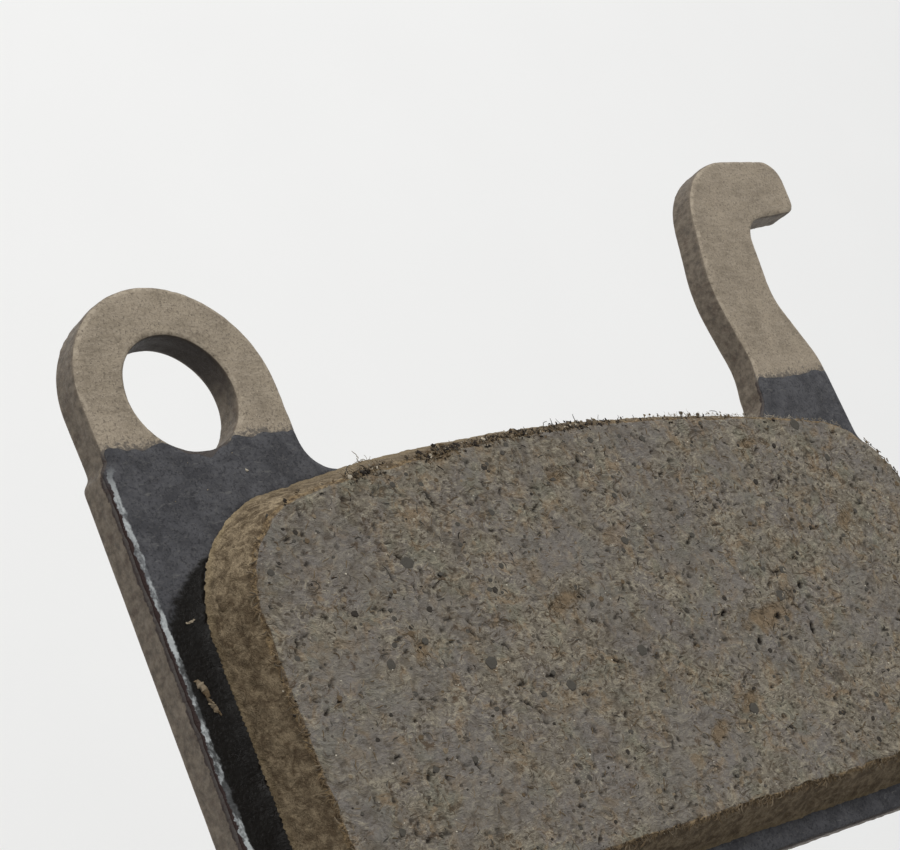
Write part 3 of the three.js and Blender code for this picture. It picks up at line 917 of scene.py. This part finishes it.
rng = np.random.default_rng(15)
waist_levels = [UNDERLAYER_TOP, 3.95, 3.8, 3.65, 3.5, 3.35, 3.2, 3.08, 3.0]
layer_profile = [(drafted(UNDERLAYER_TOP) + 0.8, UNDERLAYER_TOP)] + [(waist(z), z) for z in waist_levels]
foot_row = len(layer_profile) - 1
layer_profile += [(drafted(3.0) + 0.6, 3.0)]
layer_top, layer_bottom = scatter([brink_edge], 2.5, rng), scatter([brink_edge], 2.5, rng)
layer = Solid([brink_edge], layer_profile, layer_top, layer_bottom)
points = layer.points.copy()
walls = np.isin(layer.row, range(1, foot_row + 1))
lumps = np.where(walls, flank_relief(points) - 0.08, 0)
points[:, :2] -= brink_normal[on_brink.index(points)] * lumps[:, None]
layer_points, layer_faces = [points], list(layer.faces)
count = len(points)
plug_profile = [(0.4, 3.2), (0.0, 3.2), (0.0, 2.4), (0.0, 1.8), (0.0, 1.2), (0.02, 0.9), (0.05, 0.65)]
plug_profile += [(0.14, 0.5), (0.3, 0.43), (0.5, PLUG_BOTTOM)]
for outline in plug_outlines:
    loop = even(outline, 0.25)
    plug_top, plug_end = scatter([shrunk(loop, 0.4)], 1.5, rng), scatter([shrunk(loop, 0.5)], 0.25, rng)
    plug = Solid([loop], plug_profile, plug_top, plug_end)
    points = plug.points
    points[:, 2] += (points[:, 2] < 0.7) * (0.10 + 0.9 * rock(points) + 0.08 * fbm(points, 2.5, 91))
    layer_points.append(points)
    layer_faces += [[v + count for v in f] for f in plug.faces]
    count += len(points)
points = np.vstack(layer_points)
layer_piece = mesh_object("moulded_underlayer", points, layer_faces, UNDER, ["underlayer"])
none = np.zeros(len(points))
paint(layer_piece, side=none + 1, hollow=none, pit=none, torn=none, brink=none)


# ---------------- crumbs, granules and fibres

over_face = Nearest([face_points[:, :2]])


def face_height(x, y):
    return float(face_points[over_face.index([(x, y)])[0], 2])


# An icosahedron of radius 1, from which the crumbs are shaped.
GOLDEN = (1 + 5 ** 0.5) / 2
signs = list(itertools.product((-1, 1), repeat=2))
BALL = np.array([(0, a, b * GOLDEN) for a, b in signs] + [(a, b * GOLDEN, 0) for a, b in signs]
                + [(b * GOLDEN, 0, a) for a, b in signs]) / math.hypot(1, GOLDEN)


def ball_faces():
    faces = []
    for a, b, c in itertools.combinations(range(12), 3):
        p = BALL[[a, b, c]]
        if max(np.linalg.norm(p[0] - p[1]), np.linalg.norm(p[1] - p[2]), np.linalg.norm(p[2] - p[0])) < 1.1:
            outward = np.dot(np.cross(p[1] - p[0], p[2] - p[0]), p.mean(0)) > 0
            faces.append((a, b, c) if outward else (a, c, b))
    return faces


BALL_FACES = ball_faces()


class Bits:
    """Many small closed solids in one piece. Each has a tint, which its material turns into a tone."""

    def __init__(self):
        self.points, self.faces, self.tints, self.count = [], [], [], 0

    def join(self, points, faces, tint):
        self.points.append(points)
        self.faces += [[v + self.count for v in f] for f in faces]
        self.tints.append(np.full(len(points), tint))
        self.count += len(points)

    def crumb(self, centre, size, tint, rng, flat):
        """A lumpy ball, flattened to a share of its height."""
        turn = np.linalg.qr(rng.normal(size=(3, 3)))[0]
        if np.linalg.det(turn) < 0:
            turn[0] *= -1
        shape = BALL * rng.uniform(0.55, 1.25, (12, 1)) * rng.uniform(0.35, 1.45, 3)
        shape = (shape @ turn) * (size, size, size * flat)
        self.join(shape + centre, BALL_FACES, tint)

    def granule(self, x, y, radius, tint, rng, rise=0.025):
        """A many-sided flat grain, rubbed down almost level with the face."""
        corners = rng.integers(6, 10)
        shake = rng.uniform(-0.2, 0.2, corners)
        angle = np.sort(np.linspace(0, 2 * math.pi, corners, endpoint=False) + shake)
        reach = radius * rng.uniform(0.84, 1.08, corners)
        ring = np.column_stack([np.cos(angle) * reach, np.sin(angle) * reach * rng.uniform(0.7, 1.0)])
        level = max(face_height(x + a * 0.6 * radius, y + b * 0.6 * radius) for a, b in signs)
        stack = [(0.80, rise), (1.0, rise - 0.03), (1.0, -0.30)]
        points = np.vstack([at_height(ring * k + (x, y), level + z) for k, z in stack])
        points[:corners, 2] += rng.uniform(-0.015, 0.015, corners)
        i = np.arange(corners)
        j = (i + 1) % corners
        faces = [i.tolist()]
        for a, b in ((0, corners), (corners, 2 * corners)):
            faces += np.column_stack([a + i, b + i, b + j, a + j]).tolist()
        faces.append((2 * corners + i[::-1]).tolist())
        self.join(points, faces, tint)

    def hair(self, path, radius, tint, sides=5):
        """A round fibre along a path, thinner at its ends."""
        path = np.asarray(path)
        n = len(path)
        along = np.gradient(path, axis=0)
        along /= np.linalg.norm(along, axis=1)[:, None]
        side = np.cross(along, (0.3, 0.2, 0.93))
        side /= np.maximum(np.linalg.norm(side, axis=1), 1e-6)[:, None]
        up = np.cross(side, along)
        taper = radius * np.sin(np.linspace(0.25, math.pi - 0.35, n)) ** 0.5
        angle = np.linspace(0, 2 * math.pi, sides, endpoint=False)[:, None]
        rings = [path[k] + taper[k] * (np.cos(angle) * side[k] + np.sin(angle) * up[k]) for k in range(n)]
        i = np.arange(sides)
        j = (i + 1) % sides
        faces = []
        for a in range(0, (n - 1) * sides, sides):
            faces += np.column_stack([a + i, a + j, a + sides + j, a + sides + i]).tolist()
        faces += [i[::-1].tolist(), ((n - 1) * sides + i).tolist()]
        self.join(np.vstack(rings), faces, tint)

    def piece(self, name, slot, smooth):
        made = mesh_object(name, np.vstack(self.points), self.faces, BITS, smooth=smooth)
        paint(made, tint=np.concatenate(self.tints))


def curl(start, heading, length, bend, rng, lift=0.0, steps=14):
    """A wandering path for a fibre."""
    path, here, angle, rise = [], np.array(start, float), heading, lift
    for _ in range(steps):
        path.append(here.copy())
        here = here + np.array([math.cos(angle), math.sin(angle), rise]) * length / steps
        angle += bend / steps + rng.normal(0, 0.16)
        rise += rng.normal(0, 0.10) - 0.12 * rise
    return path


def laid(path, rise):
    """The path laid on the lining's face, raised a little."""
    return [(x, y, min(face_height(x, y) + rise, FACE)) for x, y, _ in path]


def capped(path):
    """The path kept from rising above the lining's face."""
    return [(x, y, min(z, FACE)) for x, y, z in path]


rng = np.random.default_rng(16)
granules = Bits()
# The largest granules of the photo: place and radius.
named_granules = [
    (-27.9, -4.8, 0.72), (-23.6, -14.1, 0.62), (-6.9, -15.8, 0.62), (13.1, -13.8, 0.66), (26.2, 2.2, 0.66),
    (-3.3, -6.2, 0.46), (22.3, -2.3, 0.40), (-11.2, -9.4, 0.42), (5.2, -6.8, 0.36), (-17.0, -1.8, 0.36),
    (-16.4, -17.3, 0.5), (14.9, -11.6, 0.5), (3.2, -23.0, 0.6), (28.6, -1.6, 0.45), (-33.5, -12.5, 0.45),
]
for x, y, radius in named_granules:
    granules.granule(x, y, radius, 0.26, rng)
# Scattered spots on the face: dark granules on the first, pale ones on some more, fibres on the rest.
spots = rng.uniform(low, high, (2400, 2))
spots = spots[within(spots, [shrunk(brink_edge, 0.8)])]
dark_spots, pale_spots, fibre_spots = spots[:440], spots[620:690], spots[700:2000]
for x, y in dark_spots:
    size = 0.11 + 0.26 * rng.random() ** 2.2
    tint = rng.choice([0.10, 0.24, 0.26, 0.30, 0.45, 0.62], p=[0.22, 0.26, 0.16, 0.12, 0.14, 0.10])
    granules.granule(x, y, size, tint, rng, rise=rng.uniform(0.0, 0.03))
for x, y in pale_spots:
    granules.granule(x, y, rng.uniform(0.05, 0.10), 0.95, rng, rise=0.03)
granules.piece("granules", "lining", smooth=False)

# Where along the top edge the crumbs gather: middle, spread and share, in millimetres.
heaps = [(-28.3, 1.2, 0.12), (-18.5, 2.6, 0.26), (-10.0, 2.6, 0.28), (-3.0, 2.6, 0.30), (10.0, 4.0, 0.04)]
top_points = np.flatnonzero(brink_normal[:, 1] < -0.55)
tuft_points = np.flatnonzero(brink_normal[:, 1] >= -0.75)
fuzz_points = top_points[(brink_edge[top_points, 0] > 6) & (brink_edge[top_points, 0] < 33)]


def brink_place(anywhere, rng):
    """A point of the brink, as its index: anywhere along it, or in one of the heaps."""
    if anywhere:
        return rng.integers(len(brink_edge))
    middle, spread, _ = heaps[rng.choice(len(heaps), p=[h[2] for h in heaps])]
    return top_points[np.argmin(np.abs(brink_edge[top_points, 0] - rng.normal(middle, spread)))]


def away(i):
    """Direction that points away from the lining at a point of the brink."""
    return math.atan2(-brink_normal[i][1], -brink_normal[i][0])


crumbs = Bits()
BRINK_CRUMBS, FACE_CRUMBS = 1250, 420
for n in range(BRINK_CRUMBS):
    i = brink_place(n % 5 == 0, rng)
    inset = rng.normal(0.04, 0.27)
    x, y = brink_edge[i] + brink_normal[i] * inset + rng.normal(0, 0.05, 2)
    size = 0.05 + 0.19 * rng.random() ** 1.8
    z = FACE - 0.06 - max(0, -inset) * 1.1 + rng.normal(0, 0.05)
    shade = rng.choice([0.02, 0.2, 0.4, 0.48, 0.6, 0.85], p=[0.24, 0.06, 0.28, 0.22, 0.16, 0.04])
    crumbs.crumb((x, y, min(z, FACE + 0.02 - size * 0.6)), size, shade, rng, flat=0.6)
for n in range(FACE_CRUMBS):
    x, y = fibre_spots[n] + rng.normal(0, 0.3, 2)
    size, shade = rng.uniform(0.04, 0.09), rng.choice([0.06, 0.4, 0.6, 0.2])
    crumbs.crumb((x, y, face_height(x, y) - 0.01), size, shade, rng, flat=0.5)
crumbs.piece("brink_crumbs", "lining", smooth=False)

# Loose fibres among the crumbs of the top edge.
fibres = Bits()
LOOSE, TUFTS, FUZZ = 84, 620, 340
for n in range(LOOSE):
    i = brink_place(n % 4 == 0, rng)
    spot = brink_edge[i] + brink_normal[i] * rng.uniform(-0.1, 0.2)
    start = (*spot, FACE - rng.uniform(0.05, 0.3))
    long = 0.5 + 1.1 * rng.random() ** 2
    heading, bend, lift = away(i) + rng.normal(0, 1.3), rng.normal(0, 5.0), rng.normal(-0.03, 0.2)
    path = capped(curl(start, heading, long, bend, rng, lift, steps=20))
    fibres.hair(path, rng.uniform(0.014, 0.036), rng.choice([0.02, 0.06, 0.2, 0.35, 0.55]))
# Tufts of binder that overhang the brink on the left and lower sides.
for n in range(TUFTS):
    i = rng.choice(tuft_points)
    spot = brink_edge[i] + brink_normal[i] * rng.normal(0.22, 0.14)
    heading, long, bend = away(i) + rng.normal(0, 0.8), rng.uniform(0.35, 1.0), rng.normal(0, 1.6)
    path = curl((*spot, 0), heading, long, bend, rng, steps=7)
    path = [(x, y, FACE - 0.02 - 0.045 * k + rng.normal(0, 0.015)) for k, (x, y, _) in enumerate(path)]
    fibres.hair(path, rng.uniform(0.03, 0.075), rng.choice([0.40, 0.48, 0.54, 0.60]))
# Fine tan fuzz that stands off the right half of the top edge. Its pale tints are partly the fibres' own
# tan and partly painted light, for light shining through them from behind.
for n in range(FUZZ):
    i = rng.choice(fuzz_points)
    spot = brink_edge[i] + brink_normal[i] * rng.normal(0.05, 0.12)
    start = (*spot, FACE - rng.uniform(0.02, 0.35))
    heading = away(i) + rng.choice((-1, 1)) * rng.uniform(0.7, 1.6)
    long, bend, lift = 0.2 + 0.7 * rng.random() ** 2, rng.normal(0, 2.4), rng.normal(0, 0.1)
    path = capped(curl(start, heading, long, bend, rng, lift, steps=8))
    fibres.hair(path, rng.uniform(0.010, 0.019), rng.choice([0.62, 0.72, 0.82, 0.92]), sides=4)
# Torn ends in the patches.
for x, y, long, short, turn in patches:
    for _ in range(int(18 * long)):
        u, v = rng.uniform(-1, 1, 2) * (long, short)
        spot = (x + u * math.cos(turn) - v * math.sin(turn), y + u * math.sin(turn) + v * math.cos(turn))
        heading, reach, bend = rng.uniform(0, 6.28), rng.uniform(0.4, 1.1), rng.normal(0, 2.4)
        path = laid(curl((*spot, 0), heading, reach, bend, rng), 0.035)
        fibres.hair(path, rng.uniform(0.016, 0.034), rng.choice([0.45, 0.58, 0.66, 0.78]))
fibres.piece("loose_fibres", "lining", smooth=True)

# Fibres matted flat on the whole face.
flakes = Bits()
for x, y in fibre_spots:
    heading, long, bend = rng.normal(0.3, 0.7), rng.uniform(0.3, 1.0), rng.normal(0, 1.1)
    path = laid(curl((x, y, 0), heading, long, bend, rng, steps=8), 0.012)
    shade = rng.choice([0.02, 0.30, 0.46, 0.56, 0.62, 0.70], p=[0.04, 0.18, 0.26, 0.28, 0.18, 0.06])
    flakes.hair(path, rng.uniform(0.02, 0.065), shade, sides=4)
flakes.piece("matted_fibres", "lining", smooth=True)

# Dried adhesive on the coat beside the lining: single beads, a short row of them and a longer curved run.
rng = np.random.default_rng(17)
beads = Bits()
ROW_BEADS, RUN_BEADS = 9, 16
for x, y, size, shade in ((-36.3, 6.2, 0.16, 0.9), (-38.4, 2.6, 0.13, 0.8), (-40.6, 5.0, 0.07, 0.7),
                          (-41.5, 7.4, 0.06, 0.7), (-37.0, 7.8, 0.06, 0.7), (-43.9, 4.4, 0.05, 0.62)):
    beads.crumb((x, y, PLATE_TOP + 0.14), size, shade, rng, flat=0.5)
for k in range(ROW_BEADS):
    place = (-46.95 + 0.09 * k, -5.25 + 0.03 * k + rng.normal(0, 0.02), PLATE_TOP + 0.2)
    beads.crumb(place, 0.11, 0.72, rng, flat=0.5)
for k in range(RUN_BEADS):
    t = k / (RUN_BEADS - 1)
    place = (-48.0 + 1.0 * t + 0.10 * math.sin(7 * t), -9.6 - 2.8 * t, PLATE_TOP + 0.16)
    width = 0.16 + 0.16 * math.sin(math.pi * t) + 0.06 * math.sin(9 * t)
    beads.crumb(place, width, 0.56 + 0.08 * math.sin(11 * t), rng, flat=0.7)
beads.piece("adhesive_flecks", "bond_coat", smooth=True)


# ---------------- floor, light and camera, in metres

FLOOR_DROP = 0.16
corners = [(-4, -4), (4, -4), (4, 4), (-4, 4)]
floor_mesh = bpy.data.meshes.new("floor")
floor_mesh.from_pydata([(x, y, -FLOOR_DROP) for x, y in corners], [], [(0, 1, 2, 3)])
floor_mesh.materials.append(floor_finish())
placed("floor", floor_mesh)

# A soft sky, brighter towards +Y, the side that the softbox is on.
world = bpy.data.worlds.new("studio")
world.use_nodes = True
sky = world.node_tree
direction = sky.nodes.new("ShaderNodeTexCoord")
parts = sky.nodes.new("ShaderNodeSeparateXYZ")
fade = sky.nodes.new("ShaderNodeMapRange")
sky.links.new(direction.outputs["Generated"], parts.inputs["Vector"])
sky.links.new(parts.outputs["Y"], fade.inputs["Value"])
for key, value in (("From Min", -1.0), ("From Max", 1.0), ("To Min", 0.22), ("To Max", 0.92)):
    fade.inputs[key].default_value = value
sky.links.new(fade.outputs["Result"], sky.nodes["Background"].inputs["Strength"])
sky.nodes["Background"].inputs["Color"].default_value = (0.98, 0.99, 1.0, 1)
bpy.context.scene.world = world

SOFTBOX_PLACE = Vector((-0.05, 0.70, 1.05))
PAD_MIDDLE = Vector((0, -0.005, 0.004))
softbox = bpy.data.lights.new("overhead_softbox", "AREA")
softbox.shape = "DISK"
softbox.size = 0.7
softbox.energy = 9.9
softbox.color = (1.0, 0.99, 0.97)
lamp = placed("overhead_softbox", softbox)
lamp.location = SOFTBOX_PLACE
lamp.rotation_euler = (PAD_MIDDLE - SOFTBOX_PLACE).to_track_quat("-Z", "Y").to_euler()

# The camera as solved from the photo: its place, and the directions it looks in and holds upwards.
CAMERA_PLACE = (-0.1424443, -0.0451761, 0.1275306)
FORWARD = Vector((0.690272, 0.284339, -0.665338))
UPWARD = Vector((0.084463, 0.881595, 0.464387))
lens = bpy.data.cameras.new("camera")
lens.lens = 88.0
lens.sensor_width = 36.0
lens.clip_start = 0.005
lens.clip_end = 50
camera = placed("camera", lens)
stand = Matrix((FORWARD.cross(UPWARD), UPWARD, -FORWARD)).transposed().to_4x4()
stand.translation = CAMERA_PLACE
camera.matrix_world = stand
bpy.context.scene.camera = camera
bpy.context.scene.view_settings.view_transform = "Standard"

bpy.context.view_layer.update()
